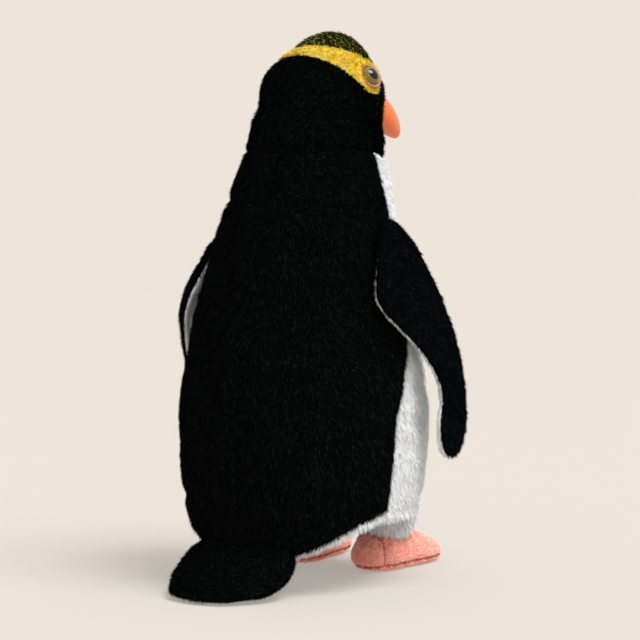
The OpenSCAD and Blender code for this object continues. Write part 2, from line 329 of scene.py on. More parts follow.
def add_catch_light():
    """A small lamp beside the camera for the sparkle in the eyes and on the beak."""
    lamp = bpy.data.lights.new("catch_light", "AREA")
    lamp.size = 0.05
    lamp.energy = 0.7
    ob = bpy.data.objects.new("catch_light", lamp)
    bpy.context.scene.collection.objects.link(ob)
    ob.location = (-0.75, 0.62, 0.75)
    ob.rotation_euler = (Vector((0, 0, 0.28)) - ob.location).to_track_quat("-Z", "Y").to_euler()


add_camera()
add_floor()
add_world()
add_sun()
add_catch_light()
bpy.context.scene.view_settings.view_transform = "Standard"


# ------------------------------------------------------------------ materials

def paint(name, colour, roughness=0.8, specular=0.25, ior=1.45, coat=0.0):
    """A material with constant values."""
    mat = bpy.data.materials.new(name)
    mat.use_nodes = True
    shader = mat.node_tree.nodes["Principled BSDF"]
    shader.inputs["Base Color"].default_value = (*colour, 1)
    shader.inputs["Roughness"].default_value = roughness
    shader.inputs["Specular IOR Level"].default_value = specular
    shader.inputs["IOR"].default_value = ior
    shader.inputs["Coat Weight"].default_value = coat
    shader.inputs["Coat Roughness"].default_value = 0.05
    mat.diffuse_color = (*colour, 1)
    return mat


def family(name, colours, **kw):
    return [paint(f"{name}_{i + 1}", c, **kw) for i, c in enumerate(colours)]


MATT = dict(roughness=1.0, specular=0.1, ior=1.05)
BLACK_SKIN = paint("black_backing", (0.0015, 0.0018, 0.002), **MATT)
BLACK_PILE = family("black_pile", [(0.0022, 0.0029, 0.0028), (0.005, 0.0063, 0.006),
                                   (0.0135, 0.0165, 0.0165)], **MATT)
# Painted shade: the flippers' black pile is the body's black pile painted a little darker.
SHADED_WING_PILE = family("wing_pile_painted_shade", [(0.0021, 0.0027, 0.0034), (0.0042, 0.0055, 0.0066),
                                 (0.012, 0.0148, 0.018)], **MATT)
WHITE_SKIN = paint("white_backing", (0.76, 0.77, 0.78), **MATT)
WHITE_PILE = family("white_pile", [(0.69, 0.71, 0.73), (0.82, 0.84, 0.86), (0.94, 0.95, 0.96)], **MATT)
PINK_SKIN = paint("pink_backing", (0.86, 0.32, 0.25), **MATT)
PINK_PILE = family("pink_pile", [(0.88, 0.36, 0.29), (0.98, 0.52, 0.43), (0.99, 0.72, 0.63)], **MATT)
# Painted shade: the deepest pink goes on the pile that lies in the foot's seams and in the valleys of its
# gathers.
PINK_PAINTED_SHADE = paint("pink_painted_seam_shade", (0.42, 0.07, 0.05), **MATT)
YELLOW_SKIN = paint("yellow_backing", (0.9, 0.66, 0.04), **MATT)
YELLOW_PILE = family("yellow_pile", [(0.66, 0.44, 0.02), (0.97, 0.83, 0.1), (0.99, 0.98, 0.55)], **MATT)
OLIVE_SKIN = paint("olive_backing", (0.012, 0.016, 0.004), **MATT)
OLIVE_PILE = family("olive_pile", [(0.009, 0.013, 0.004), (0.065, 0.085, 0.018), (0.66, 0.64, 0.14)], **MATT)
ORANGE = paint("orange_vinyl", (0.82, 0.17, 0.045), 0.3, 0.5, coat=0.35)
PALE_PINK = paint("pale_pink_vinyl", (0.86, 0.5, 0.42), 0.4, 0.5, coat=0.2)
LID_PINK = paint("lid_felt", (0.42, 0.22, 0.13), 0.8, 0.3)
FILLING = paint("fibre_filling_look", (0.88, 0.87, 0.84), 0.95, 0.1)


# ------------------------------------------------------------------ cutting a form into its sewn pieces

class Skin:
    """Triangles of a finished form, with the normals of the whole form kept for every piece cut from it."""

    def __init__(self, ob, planes):
        bm = bmesh.new()
        bm.from_mesh(ob.data)
        for point, direction in planes:
            geom = bm.verts[:] + bm.edges[:] + bm.faces[:]
            bmesh.ops.bisect_plane(bm, geom=geom, dist=1e-7, plane_co=Vector(np.asarray(point) * MM),
                                   plane_no=Vector(direction))
        bmesh.ops.triangulate(bm, faces=bm.faces[:])
        mesh = bpy.data.meshes.new("cut")
        bm.to_mesh(mesh)
        bm.free()
        self.v = np.empty(len(mesh.vertices) * 3)
        mesh.vertices.foreach_get("co", self.v)
        self.v = self.v.reshape(-1, 3) / MM
        self.n = np.empty(len(mesh.vertices) * 3)
        mesh.vertices.foreach_get("normal", self.n)
        self.n = self.n.reshape(-1, 3)
        self.f = np.empty(len(mesh.loops), np.int32)
        mesh.loops.foreach_get("vertex_index", self.f)
        self.f = self.f.reshape(-1, 3)
        bpy.data.meshes.remove(mesh)
        bpy.data.objects.remove(ob)

    def centres(self):
        return self.v[self.f].mean(axis=1)

    def refresh_normals(self):
        a, b, c = (self.v[self.f[:, k]] for k in range(3))
        face = np.cross(b - a, c - a)
        self.n = np.zeros_like(self.v)
        for k in range(3):
            np.add.at(self.n, self.f[:, k], face)
        self.n /= np.maximum(np.linalg.norm(self.n, axis=1, keepdims=True), 1e-9)

    def piece(self, name, mask, material, fill=0.7):
        faces = self.f[mask]
        used, index = np.unique(faces, return_inverse=True)
        ob = new_object(name, self.v[used], index.reshape(-1, 3))
        ob.data.normals_split_custom_set_from_vertices(self.n[used].tolist())
        ob.data.materials.append(material)
        return ob

    def pile(self, name, mask, comb, density, length, lift, width, paints, shares, seed=1, tint=None):
        """Short fibres on the masked faces. comb(points, normals) gives the way they are brushed."""
        r = np.random.RandomState(seed)
        faces = self.f[mask]
        a, b, c = (self.v[faces[:, k]] for k in range(3))
        area = np.linalg.norm(np.cross(b - a, c - a), axis=1) / 2
        count = int(area.sum() * density)
        pick = np.searchsorted(np.cumsum(area) / area.sum(), r.rand(count))
        pick = np.minimum(pick, len(faces) - 1)
        u, v = r.rand(count, 1), r.rand(count, 1)
        flip = (u + v) > 1
        u, v = np.where(flip, 1 - u, u), np.where(flip, 1 - v, v)
        root = a[pick] * (1 - u - v) + b[pick] * u + c[pick] * v
        n = self.n[faces[pick]]
        n = n[:, 0] * (1 - u - v) + n[:, 1] * u + n[:, 2] * v
        n /= np.linalg.norm(n, axis=1, keepdims=True)
        t = comb(root, n)
        t = t - n * (t * n).sum(axis=1, keepdims=True)
        t /= np.maximum(np.linalg.norm(t, axis=1, keepdims=True), 1e-6)
        side = np.cross(n, t)
        swirl = r.normal(0, 0.35, (count, 1))
        t = t * np.cos(swirl) + side * np.sin(swirl)
        side = np.cross(n, t)
        up = np.radians(lift * (0.6 + 0.8 * r.rand(count, 1)))
        size = length * (0.65 + 0.6 * r.rand(count, 1))
        half = width * (0.7 + 0.6 * r.rand(count, 1)) / 2
        roll = r.normal(0, 0.5, (count, 1))
        across = side * np.cos(roll) + n * np.sin(roll)
        tip = root + size * (t * np.cos(up) + n * np.sin(up))
        base = root - 0.25 * n
        verts = np.empty((count, 3, 3))
        verts[:, 0] = base - across * half
        verts[:, 1] = base + across * half
        verts[:, 2] = tip
        ob = new_object(name, verts.reshape(-1, 3), np.arange(count * 3).reshape(-1, 3), smooth=False)
        for p in paints:
            ob.data.materials.append(p)
        tone = np.searchsorted(np.cumsum(shares), r.rand(count) * sum(shares)).clip(0, len(paints) - 1)
        if tint is not None:
            tone = np.where(tint(root, r), len(paints) - 1, tone)
        ob.data.polygons.foreach_set("material_index", tone.astype(np.int32))
        return ob


def downward(points, n):
    t = np.zeros_like(points)
    t[:, 2] = -1
    return t + 0.15 * n


# ------------------------------------------------------------------ body, head and legs

BODY_SIDE = [(0, 15), (20, 15), (40, 15), (55, 16), (61, 20), (64, 27), (66, 36), (67.4, 46),
             (68.9, 60), (70, 76), (70.3, 95), (69.3, 115), (66.3, 138), (62.3, 160), (57.8, 180),
             (53.4, 200), (48.4, 219), (44.2, 233), (41.5, 244)]
HEAD_SIDE = [(0, -14), (36, -14), (40, 0), (39.4, 10), (38.4, 22), (35.8, 36), (31, 48.5),
             (24.3, 59), (15.5, 67.5), (6, 72), (0, 73)]
UNDERSIDE = np.array([[-90.0, 39.0], [12.0, 38.0], [29.0, 31.0], [41.0, 22.5], [50.0, 14.5],
                      [90.0, 14.5]])
LEG = [(0, 20.5), (12.5, 20.5), (14.2, 22.5), (15.2, 28), (17, 35), (19, 43), (17.5, 55), (11, 68),
       (0, 73)]
LEG_X = 29.0
LEG_Y = -46.0
HEEL_X = 26.0
HEEL_Y = -38.0
# The seams, as [Y, Z] in the frames of the body and the head.
FLANK = np.array([[13.0, 43.5], [12.0, 95.0], [-2.0, 138.0], [-4.0, 260.0]])
BASE_SEAM = np.array([[13.0, 43.5], [29.0, 36.5], [41.0, 27.5], [50.0, 17.5], [56.0, 8.0]])
BAND_HIGH = 57.5
BAND_LOW = np.array([[-45.0, 53.0], [-16.0, 52.0], [-12.0, 38.0], [-3.0, 35.0], [45.0, 55.9]])
SWELL = 1.5
HEAD_BACK_FULL = 0.07


def shape_body(p):
    """Ends the body at its underside."""
    p[:, 2] = np.maximum(p[:, 2], np.interp(p[:, 1], UNDERSIDE[:, 0], UNDERSIDE[:, 1]))
    return p


def shape_head(p):
    """Fills out the back of the head."""
    r = np.maximum(np.hypot(p[:, 0], p[:, 1]), 1e-6)
    full = HEAD_BACK_FULL * np.maximum(p[:, 1], 0) / r * bump(p[:, 2] - 42, 17)
    p[:, :2] *= (1 + full)[:, None]
    return p


def heel_centre(side):
    return SHIFT + [side * HEEL_X, HEEL_Y, 0]


def leg_centre(side):
    return SHIFT + [side * LEG_X, LEG_Y, 0]


def core_form():
    side = [(max(r - SWELL, 0), z) for r, z in spline(BODY_SIDE, 70)]
    dome = [(max(r - SWELL, 0), z) for r, z in spline(HEAD_SIDE, 60)]
    side[0] = (0, side[0][1])
    dome[0] = (0, -14)
    dome[-1] = (0, HEAD_SIDE[-1][1] - SWELL - 0.8)
    obs = [revolve("body", side + [(37, 252), (0, 252)], BODY, squash=shape_body),
           revolve("head", dome, HEAD, squash=shape_head)]
    for s in (-1, 1):
        obs.append(revolve("leg", LEG, Frame(np.eye(3), leg_centre(s))))
    core = join("core", obs)
    remesh(core, 3.6, 8)
    return core


def flank_distance(y, z):
    """Distance behind the seam between the black back and the white front, in the body frame."""
    return y - np.interp(z, FLANK[:, 1], FLANK[:, 0])


def base_distance(y, z):
    """Distance above the edge of the underside, in the body frame."""
    return z - np.interp(y, BASE_SEAM[:, 0], BASE_SEAM[:, 1])


def below_band(y, z):
    """Distance above the lower edge of the yellow band, in the head frame."""
    return z - np.interp(y, BAND_LOW[:, 0], BAND_LOW[:, 1])


def seam_depth(p, fine):
    """How deep each point lies in a seam: the narrow stitched groove if fine, else the soft one."""
    b, h = BODY.into(p), HEAD.into(p)
    w = 1.3 if fine else 6.0
    depth = (1.3 if fine else 0.7) * bump(b[:, 2] - BODY_TOP, 1.6 if fine else 7.0)
    low = smoothstep(BODY_TOP - b[:, 2], -1, 3)
    back = smoothstep(b[:, 1], 0, 12)
    flank = flank_distance(b[:, 1], b[:, 2])
    base = base_distance(b[:, 1], b[:, 2])
    depth += (0.5 if fine else 0.7) * bump(b[:, 0], w) * low * back * smoothstep(base, -2, 3)
    depth += 0.7 * bump(flank, w) * low * smoothstep(b[:, 2], 38, 48)
    edge = bump(base, w) * smoothstep(flank, 0, 6) * smoothstep(120 - b[:, 2], 0, 10)
    depth += (0.7 if fine else 0.4) * edge
    band = below_band(h[:, 1], h[:, 2])
    top = 1 - low
    depth += (0.5 if fine else 0.2) * (bump(band, w) + bump(h[:, 2] - BAND_HIGH, w)) * top
    depth += 0.3 * bump(h[:, 0], w) * top * smoothstep(-band, -1, 3)
    return depth


def finish_core(core):
    p = coords(core)
    held = np.clip(seam_depth(p, False) / 0.8, 0, 1)
    held = np.maximum(held, smoothstep(42 - p[:, 2], 0, 8))
    inflate(core, held, 3.5, 0.03, 2.0)
    subdivide(core, 2)
    p, n = coords(core), normals(core)
    b = BODY.into(p)
    angle = np.arctan2(b[:, 1], b[:, 0])
    rough = 0.9 * fractal(p * [1, 1, 0.6], 34, 3, 2) + 0.28 * fractal(p, 9, 5, 2)
    gathers = np.sin(angle * 41 + 2.2 * np.sin(angle * 5 + 1)) * bump(b[:, 2] - BODY_TOP - 1, 6.5)
    depth = 0.6 * seam_depth(p, False) + seam_depth(p, True)
    set_coords(core, p + n * (rough + 0.35 * gathers - depth)[:, None])


def seam_planes(place, points):
    """Cutting planes that hold X and follow a line of [Y, Z] points, in a frame."""
    planes = []
    for a, b in zip(points[:-1], points[1:]):
        d = (np.array(b) - a) / np.linalg.norm(np.array(b) - a)
        planes.append((place.out([0, *a]), place.turn([0, d[1], -d[0]])))
    return planes


core = core_form()
finish_core(core)
skin = Skin(core, [(BODY.out([0, 0, BODY_TOP]), BODY.turn(Z_AXIS)), (BODY.o, BODY.turn(X_AXIS)),
                   (HEAD.o, HEAD.turn(X_AXIS))]
            + seam_planes(BODY, FLANK) + seam_planes(BODY, BASE_SEAM)
            + seam_planes(BODY, [FLANK[0], FLANK[0] + [9, 0]])
            + seam_planes(HEAD, BAND_LOW) + seam_planes(HEAD, [[0, BAND_HIGH], [9, BAND_HIGH]]))

c = skin.centres()
cb, ch = BODY.into(c), HEAD.into(c)
upper = cb[:, 2] > BODY_TOP
band = below_band(ch[:, 1], ch[:, 2])
crown = ch[:, 2] > BAND_HIGH
under = ~upper & (base_distance(cb[:, 1], cb[:, 2]) < 0)
behind = ~upper & ~under & (flank_distance(cb[:, 1], cb[:, 2]) > 0)
front = ~upper & ~under & ~behind
cuff = np.zeros(len(c), bool)
CUFF_TOP = 40.0
CUFF_REACH = 19.0
for s in (-1, 1):
    reach = np.linalg.norm((c - leg_centre(s))[:, :2], axis=1)
    same_side = np.sign(c[:, 0] - SHIFT[0]) == s
    cuff |= (reach < CUFF_REACH) & (c[:, 2] < CUFF_TOP) & ~behind & ~upper & same_side
side_of = c[:, 0] - SHIFT[0] > 0
left_b, left_h = cb[:, 0] > 0, ch[:, 0] > 0


def at_neck(*obs):
    for ob in obs:
        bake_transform(ob)


def head_comb(p, n):
    """The head pile is brushed back from the beak and down to the neck."""
    h = HEAD.into(p)
    down = -0.35 - 0.4 * smoothstep(h[:, 1], -10, 25)
    return HEAD.turn(np.stack([0.2 * h[:, 0] / 38, np.full(len(p), 0.9), down], 1))


def leg_comb(p, n):
    return downward(p, n) + 0.35 * n


BLACK_SHARES = (0.62, 0.3, 0.08)
EVEN_SHARES = (0.35, 0.4, 0.25)

DENSITY = 2.6


def near_face(p, r):
    """Olive flecks between the eyes and the beak."""
    h = HEAD.into(p)
    return (h[:, 1] < -9) & (h[:, 2] > 20 + 9 * r.rand(len(p))) & (r.rand(len(p)) < 0.4)


HOOD_PILE = BLACK_PILE + [OLIVE_PILE[1]]
HOOD_SHARES = (*BLACK_SHARES, 0.0)
regions = [
    ("back_fur_left", behind & left_b, BLACK_SKIN, BLACK_PILE, BLACK_SHARES, downward,
     "back_panel_left", None),
    ("back_fur_right", behind & ~left_b, BLACK_SKIN, BLACK_PILE, BLACK_SHARES, downward,
     "back_panel_right", None),
    ("belly_fur", front & ~cuff, WHITE_SKIN, WHITE_PILE, EVEN_SHARES, downward, "belly_panel", None),
    ("hood_fur_left", upper & (band < 0) & left_h, BLACK_SKIN, HOOD_PILE, HOOD_SHARES, head_comb,
     "hood_panel_left", near_face),
    ("hood_fur_right", upper & (band < 0) & ~left_h, BLACK_SKIN, HOOD_PILE, HOOD_SHARES, head_comb,
     "hood_panel_right", near_face)]
for i, (name, mask, backing, pile, shares, comb, node, tint) in enumerate(regions):
    ob = skin.piece(name, mask, backing)
    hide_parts(node)
    hair = skin.pile(name + "_pile", mask, comb, DENSITY, 3.2, 24, 0.5, pile, shares, seed=11 + i, tint=tint)
    at_neck(ob, hair)

still = [
    ("underside_fur", under & ~cuff, WHITE_SKIN, WHITE_PILE, EVEN_SHARES, leg_comb,
     "base_gusset", "body", 4.2, 32),
    ("leg_cuff_fur_left", cuff & side_of, WHITE_SKIN, WHITE_PILE, EVEN_SHARES, leg_comb,
     "leg_cuff_left", "body", 5.0, 30),
    ("leg_cuff_fur_right", cuff & ~side_of, WHITE_SKIN, WHITE_PILE, EVEN_SHARES, leg_comb,
     "leg_cuff_right", "body", 5.0, 30),
    ("yellow_band_fur", upper & (band >= 0) & ~crown, YELLOW_SKIN, YELLOW_PILE, EVEN_SHARES, head_comb,
     "yellow_band", "head", 3.0, 30),
    ("crown_fur", upper & crown, OLIVE_SKIN, OLIVE_PILE, (0.44, 0.36, 0.2), head_comb, "crown_panel",
     "head", 2.8, 24)]
for i, (name, mask, backing, pile, shares, comb, node, body, length, lift) in enumerate(still):
    ob = skin.piece(name, mask, backing)
    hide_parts(node)
    hair = skin.pile(name + "_pile", mask, comb, DENSITY * 1.3, length, lift, 0.5, pile, shares, seed=31 + i)
    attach(ob, body)
    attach(hair, body)


# ------------------------------------------------------------------ rounded padded blocks: feet and tail

def block(name, cuts, power, shape):
    """A rounded block. shape maps points of the cube from -1 to 1, rounded by power, to the toy's frame."""
    bm = bmesh.new()
    bmesh.ops.create_cube(bm, size=2.0)
    bmesh.ops.subdivide_edges(bm, edges=bm.edges[:], cuts=cuts, use_grid_fill=True)
    mesh = bpy.data.meshes.new(name)
    bm.to_mesh(mesh)
    bm.free()
    ob = bpy.data.objects.new(name, mesh)
    bpy.context.scene.collection.objects.link(ob)
    p = coords(ob) * MM
    p = np.tan(p * 0.72) / math.tan(0.72)
    p /= (np.abs(p) ** power).sum(axis=1, keepdims=True) ** (1 / power)
    set_coords(ob, shape(p))
    mesh.polygons.foreach_set("use_smooth", np.ones(len(mesh.polygons), bool))
    return ob


SPLAY = 7.0
FOOT_BACK = 15.5
FOOT_FRONT = -58.0
FOOT_TOP = [(FOOT_FRONT, 12.5), (-48, 14.5), (-38, 17.5), (-28, 21), (-18, 25.5), (-9, 28.5),
            (-1, 28), (6, 26), (11, 23), (FOOT_BACK, 20)]
FOOT_HALF = [(FOOT_FRONT, 13.5), (-46, 14.8), (-32, 14.4), (-18, 13.4), (0, 14), (FOOT_BACK, 14)]
HEEL_SEAM_Y = 6.0
CLEAR_OF_FLOOR = 0.8
FOOT_SEAM_Z = 4.2


def along(table, x):
    t = np.array(sorted(table))
    return np.interp(x, t[:, 0], t[:, 1])


def foot_shape(p):
    y = FOOT_FRONT + (p[:, 1] + 1) / 2 * (FOOT_BACK - FOOT_FRONT)
    top = along(FOOT_TOP, y)
    narrow = 1 - 0.13 * smoothstep(p[:, 2], -0.3, 1)
    lean_in = 2 * smoothstep(p[:, 2], 0, 1) * smoothstep(y, 0, 12)
    height = 0.3 + ((p[:, 2] + 1) / 2) ** 1.3 * top
    return np.stack([p[:, 0] * along(FOOT_HALF, y) * narrow, y - lean_in, height], axis=1)


def foot_seams(q, fine):
    w = 0.9 if fine else 3.5
    d = (0.9 if fine else 0.8) * bump(q[:, 1] - HEEL_SEAM_Y, w) * smoothstep(q[:, 2], 3, 6)
    d += (0.9 if fine else 0.6) * bump(q[:, 2] - FOOT_SEAM_Z, w)
    return d


def make_foot(side, word):
    place = Frame(rot("Z", side * SPLAY), heel_centre(side))
    ob = block("foot", 44, 3.0, foot_shape)
    q, n = coords(ob), normals(ob)
    around = np.arctan2(q[:, 1] + 8, q[:, 0])
    gathers = 0.9 * np.sin(around * 15 + 1.3 * np.sin(around * 3)) * bump(q[:, 2] - 22, 6)
    rough = 0.5 * fractal(q + 40 * side, 12, 9, 2) + gathers
    rough *= smoothstep(q[:, 2], 0.5, 3)
    q = q + n * (rough - foot_seams(q, True) - foot_seams(q, False))[:, None]
    q[:, 2] = np.maximum(q[:, 2], 0.15)
    set_coords(ob, place.out(q))
    heel_dir = place.turn(Y_AXIS)
    foot = Skin(ob, [(place.out([0, HEEL_SEAM_Y, 0]), heel_dir),
                     (place.out([0, 0, FOOT_SEAM_Z]), Z_AXIS)])
    f = place.into(foot.centres())
    sole = f[:, 2] < FOOT_SEAM_Z
    heel = ~sole & (f[:, 1] > HEEL_SEAM_Y)

    def comb(p, n):
        t = place.turn(np.tile([0.0, -0.8, -0.6], (len(p), 1)))
        return t + 0.5 * np.stack([fractal(p, 6, k, 1) for k in (3, 4, 5)], 1)

    # Picks the pile in the seams and in the gathers' valleys, which gets the painted shade colour.
    def painted_seam_shade(p, r):
        q = place.into(p)
        folds = np.sin(np.arctan2(q[:, 1] + 8, q[:, 0]) * 15) * bump(q[:, 2] - 22, 6)
        return foot_seams(q, True) + 0.5 * folds > 0.25 + 0.5 * r.rand(len(p))

    for k, (label, mask) in enumerate([("upper", ~sole & ~heel), ("heel", heel), ("sole", sole)]):
        piece = foot.piece(f"foot_{label}_fur_{word}", mask, PINK_SKIN)
        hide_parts(f"foot_{label}_{word}")
        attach(piece, "body")
        hair = foot.pile(f"foot_{label}_fur_{word}_pile", mask & (f[:, 2] > CLEAR_OF_FLOOR), comb,
                         1.6 * DENSITY, 1.5, 38, 0.5, PINK_PILE + [PINK_PAINTED_SHADE], (*EVEN_SHARES, 0),
                         seed=51 + k, tint=painted_seam_shade)
        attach(hair, "body")


make_foot(1, "left")
make_foot(-1, "right")

TAIL_Y0 = 44.0
TAIL_Y1 = 101.0
TAIL_TOP = [(TAIL_Y0, 39), (54, 36.5), (61, 32.5), (66, 29), (71, 25), (77, 19.5), (83, 15),
            (88, 12), (94, 9.5), (TAIL_Y1, 8)]
TAIL_SWAY = 6.5
TAIL_EDGE = [(TAIL_Y0, 26), (60, 20), (75, 11), (90, 5), (TAIL_Y1, 3)]
TAIL_HALF = [(TAIL_Y0, 34), (60, 34), (75, 33), (83, 31), (90, 29.5), (TAIL_Y1, 29.5)]


def tail_shape(p):
    """The tail is a wedge that runs out of the back; its two sides rise to a thin edge."""
    y = TAIL_Y0 + (p[:, 1] + 1) / 2 * (TAIL_Y1 - TAIL_Y0)
    edge = along(TAIL_EDGE, y)
    up = np.where(p[:, 2] > 0, along(TAIL_TOP, y) - edge, edge - 0.3)
    x = p[:, 0] * along(TAIL_HALF, y) + TAIL_SWAY * smoothstep(y, 50, TAIL_Y1)
    return np.stack([x, y, edge + p[:, 2] * up], axis=1)


def make_tail():
    place = Frame(np.eye(3), SHIFT)
    ob = block("tail", 50, 2.25, tail_shape)
    q, n = coords(ob), normals(ob)
    seam = along(TAIL_EDGE, q[:, 1])
    rough = 0.8 * fractal(q, 16, 13, 2) * smoothstep(q[:, 2], 0.5, 4)
    groove = 0.7 * bump(q[:, 2] - seam, 1.3) + 0.4 * bump(q[:, 2] - seam, 4)
    q = q + n * (rough - groove)[:, None]
    q[:, 2] = np.maximum(q[:, 2], 0.15)
    set_coords(ob, place.out(q))
    tail = Skin(ob, seam_planes(place, TAIL_EDGE))
    t = place.into(tail.centres())
    top = t[:, 2] > along(TAIL_EDGE, t[:, 1])

    def comb(p, n):
        return np.tile([0.0, 0.75, -0.65], (len(p), 1))

    for k, (label, mask, node) in enumerate([("tail_top_fur", top, "tail_top"),
                                             ("tail_underside_fur", ~top, "tail_underside")]):
        piece = tail.piece(label, mask, BLACK_SKIN)
        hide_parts(node)
        hair = tail.pile(label + "_pile", mask & (t[:, 2] > CLEAR_OF_FLOOR), comb, DENSITY * 1.2,
                         3.0, 24, 0.5, BLACK_PILE, BLACK_SHARES, seed=61 + k)
        for o in (piece, hair):
            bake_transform(o)


make_tail()


# ------------------------------------------------------------------ flippers

SHOULDER = np.array([59.5, -8.0, 200.0])
FLIPPER_YAW = 10.0
FLIPPER_TILT = {1: 15.0, -1: 12.0}
FLIPPER_OUTLINE = [(-17, 3), (-10, -5), (0, -4), (5.5, 6), (13, 24), (21.5, 43), (28, 66),
                   (31.5, 98), (29.5, 115), (21, 127), (11, 131), (3, 125), (4, 110), (8, 94),
                   (0, 78), (-13, 63), (-26, 49), (-29, 38), (-24, 20)]
FLIPPER_HALF = 3.0
LINING_SPLIT = -0.7
LINING_RISE = 0.03


def flipper_frame(side):
    axes = np.array([[0, 0, 1], [-1, 0, 0], [0, -1, 0.0]])
    m = rot("Z", FLIPPER_YAW) @ rot("Y", -FLIPPER_TILT[side]) @ axes
    o = SHOULDER.copy()
    if side < 0:
        m = np.diag([-1.0, 1, 1]) @ m
        o[0] = -o[0]
    return Frame(m, o + SHIFT)


def closed_spline(points, steps):
    p = np.array(points, float)
    out = []
    for i in range(len(p)):
        a, b, c, d = p[i - 1], p[i], p[(i + 1) % len(p)], p[(i + 2) % len(p)]
        for s in range(steps):
            t = s / steps
            out.append(0.5 * (2 * b + (c - a) * t + (2 * a - 5 * b + 4 * c - d) * t ** 2
                              + (3 * b - a - 3 * c + d) * t ** 3))
    return np.array(out)


def slab(name, outline, half):
    n = len(outline)
    verts = [[x, y, -half] for x, y in outline] + [[x, y, half] for x, y in outline]
    faces = [list(range(n)), list(range(2 * n - 1, n - 1, -1))]
    faces += [[i, i + n, (i + 1) % n + n, (i + 1) % n] for i in range(n)]
    return new_object(name, verts, faces)


def flipper_bend(q, side):
    """The filled flipper is not flat: its root turns in to the body and its tip hangs straighter."""
    v = q[:, 1]
    z = -5.5 * smoothstep(-v, -12, 6)
    z += (3.5 if side < 0 else 8.5) * np.sin(np.clip((v - 5) / 120, 0, 1) * math.pi) ** 1.2
    z -= (2.0 if side < 0 else 3.0) * smoothstep(v, 70, 130)
    z -= 0.004 * np.clip(q[:, 0] - 5, -40, 40) ** 2
    out = q.copy()
    out[:, 2] += z
    return out


def make_flipper(side, word, body):
    place = flipper_frame(side)
    ob = slab("flipper", closed_spline(FLIPPER_OUTLINE, 6), FLIPPER_HALF)
    remesh(ob, 2.2, 6)
    q = coords(ob)
    held = smoothstep(2.2 - np.abs(q[:, 2]), 0, 1.2)
    inflate(ob, held, 4.5, 0.02, 2.0)
    subdivide(ob, 1)
    q, n = coords(ob), normals(ob)
    rough = 0.5 * fractal(q * [1, 1, 3] + 60 * side, 20, 17, 2) + 0.2 * fractal(q, 7, 21, 2)
    groove = 0.5 * bump(q[:, 2] - LINING_SPLIT - LINING_RISE * (q[:, 1] - 60), 0.9)
    set_coords(ob, q + n * (rough - groove)[:, None])
    wing = Skin(ob, [([0, 60, LINING_SPLIT], [0, -LINING_RISE, 1])])
    mid = wing.centres()
    out_face = mid[:, 2] > LINING_SPLIT + LINING_RISE * (mid[:, 1] - 60)
    bent = flipper_bend(wing.v, side)
    wing.v = place.out(bent)
    if side < 0:
        wing.f = wing.f[:, ::-1].copy()
    wing.refresh_normals()

    def comb(p, n):
        return np.tile(place.turn([0.1, 1.0, 0]), (len(p), 1))

    start, end = place.out([0, -2, -2]) * MM, place.out([0, 12, 0]) * MM
    front_edge = spline([(-15, 22), (6, 22), (20, 60), (22, 98), (14, 116)], 16).tolist()
    pad = slab("flipper_filling_" + word, front_edge + [(13, 98), (5, 76), (-16, 50)], 1.0)
    set_coords(pad, place.out(flipper_bend(coords(pad), side)))
    pad.data.materials.append(FILLING)
    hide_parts("flipper_padding_" + word)
    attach(pad, body)
    outer = ("flipper_fur_", out_face, BLACK_SKIN, SHADED_WING_PILE, BLACK_SHARES, "flipper_back_", 2.8)
    lining = ("flipper_lining_fur_", ~out_face, WHITE_SKIN, WHITE_PILE, EVEN_SHARES,
              "flipper_lining_", 1.8)
    for k, (label, mask, backing, pile, shares, node, length) in enumerate([outer, lining]):
        piece = wing.piece(label + word, mask, backing)
        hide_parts(node + word)
        hair = wing.pile(label + word + "_pile", mask, comb, DENSITY * 1.1, length, 24, 0.5, pile,
                         shares, seed=71 + k)
        for o in (piece, hair):
            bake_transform(o)


make_flipper(1, "left", "left_flipper")
make_flipper(-1, "right", "right_flipper")


# ------------------------------------------------------------------ beak

BEAK = HEAD.then(rot("X", 90 + 2), [0, -33, 42.5])
BEAK_SIDE = [(10.2, -6), (10.2, 0), (10, 8), (8.9, 16), (6.9, 22.5), (3.9, 27.8), (0, 29.8)]


def beak_shape(p):
    z = np.clip(p[:, 2], 0, 30)
    p[:, 0] *= 0.86
    p[:, 1] = np.where(p[:, 1] > 0, p[:, 1] * 1.06, p[:, 1] * 0.95)
    p[:, 1] -= 0.0085 * z ** 2
    return p


def beak_part(name, z0, z1, up, paints, node):
    """The beak from z0 to z1 along its length; up keeps what is above or below its mouth."""
    ob = revolve(name, [(0, -6.5)] + list(spline(BEAK_SIDE, 60)), BEAK, segments=72)
    bm = bmesh.new()
    bm.from_mesh(ob.data)
    cuts = [(BEAK.out([0, 0, z0]), -BEAK.turn(Z_AXIS)), (BEAK.out([0, 0, z1]), BEAK.turn(Z_AXIS))]
    if up:
        cuts.append((BEAK.out([0, -2, 0]), -up * BEAK.turn(Y_AXIS)))
    for co, no in cuts:
        cut = bmesh.ops.bisect_plane(bm, geom=bm.verts[:] + bm.edges[:] + bm.faces[:], dist=1e-7,
                                     plane_co=Vector(co * MM), plane_no=Vector(no), clear_outer=True)
        edges = [e for e in cut["geom_cut"] if isinstance(e, bmesh.types.BMEdge)]
        bmesh.ops.contextual_create(bm, geom=edges)
    bm.to_mesh(ob.data)
    bm.free()
    set_coords(ob, BEAK.out(beak_shape(BEAK.into(coords(ob)))))
    mod = ob.modifiers.new("edge", "BEVEL")
    mod.width = 0.5 * MM
    mod.segments = 2
    mod.limit_method = "ANGLE"
    mod.angle_limit = math.radians(50)
    apply_modifiers(ob)
    ob.data.materials.append(paints)
    ob.data.polygons.foreach_set("use_smooth", np.ones(len(ob.data.polygons), bool))
    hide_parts(node)
    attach(ob, "head")


beak_part("beak_base_skin", -6, 5, 0, PALE_PINK, "beak_base")
beak_part("beak_upper", 5, 40, 1, ORANGE, "upper_beak")
beak_part("beak_lower", 5, 40, -1, ORANGE, "lower_beak")


# ------------------------------------------------------------------ eyes

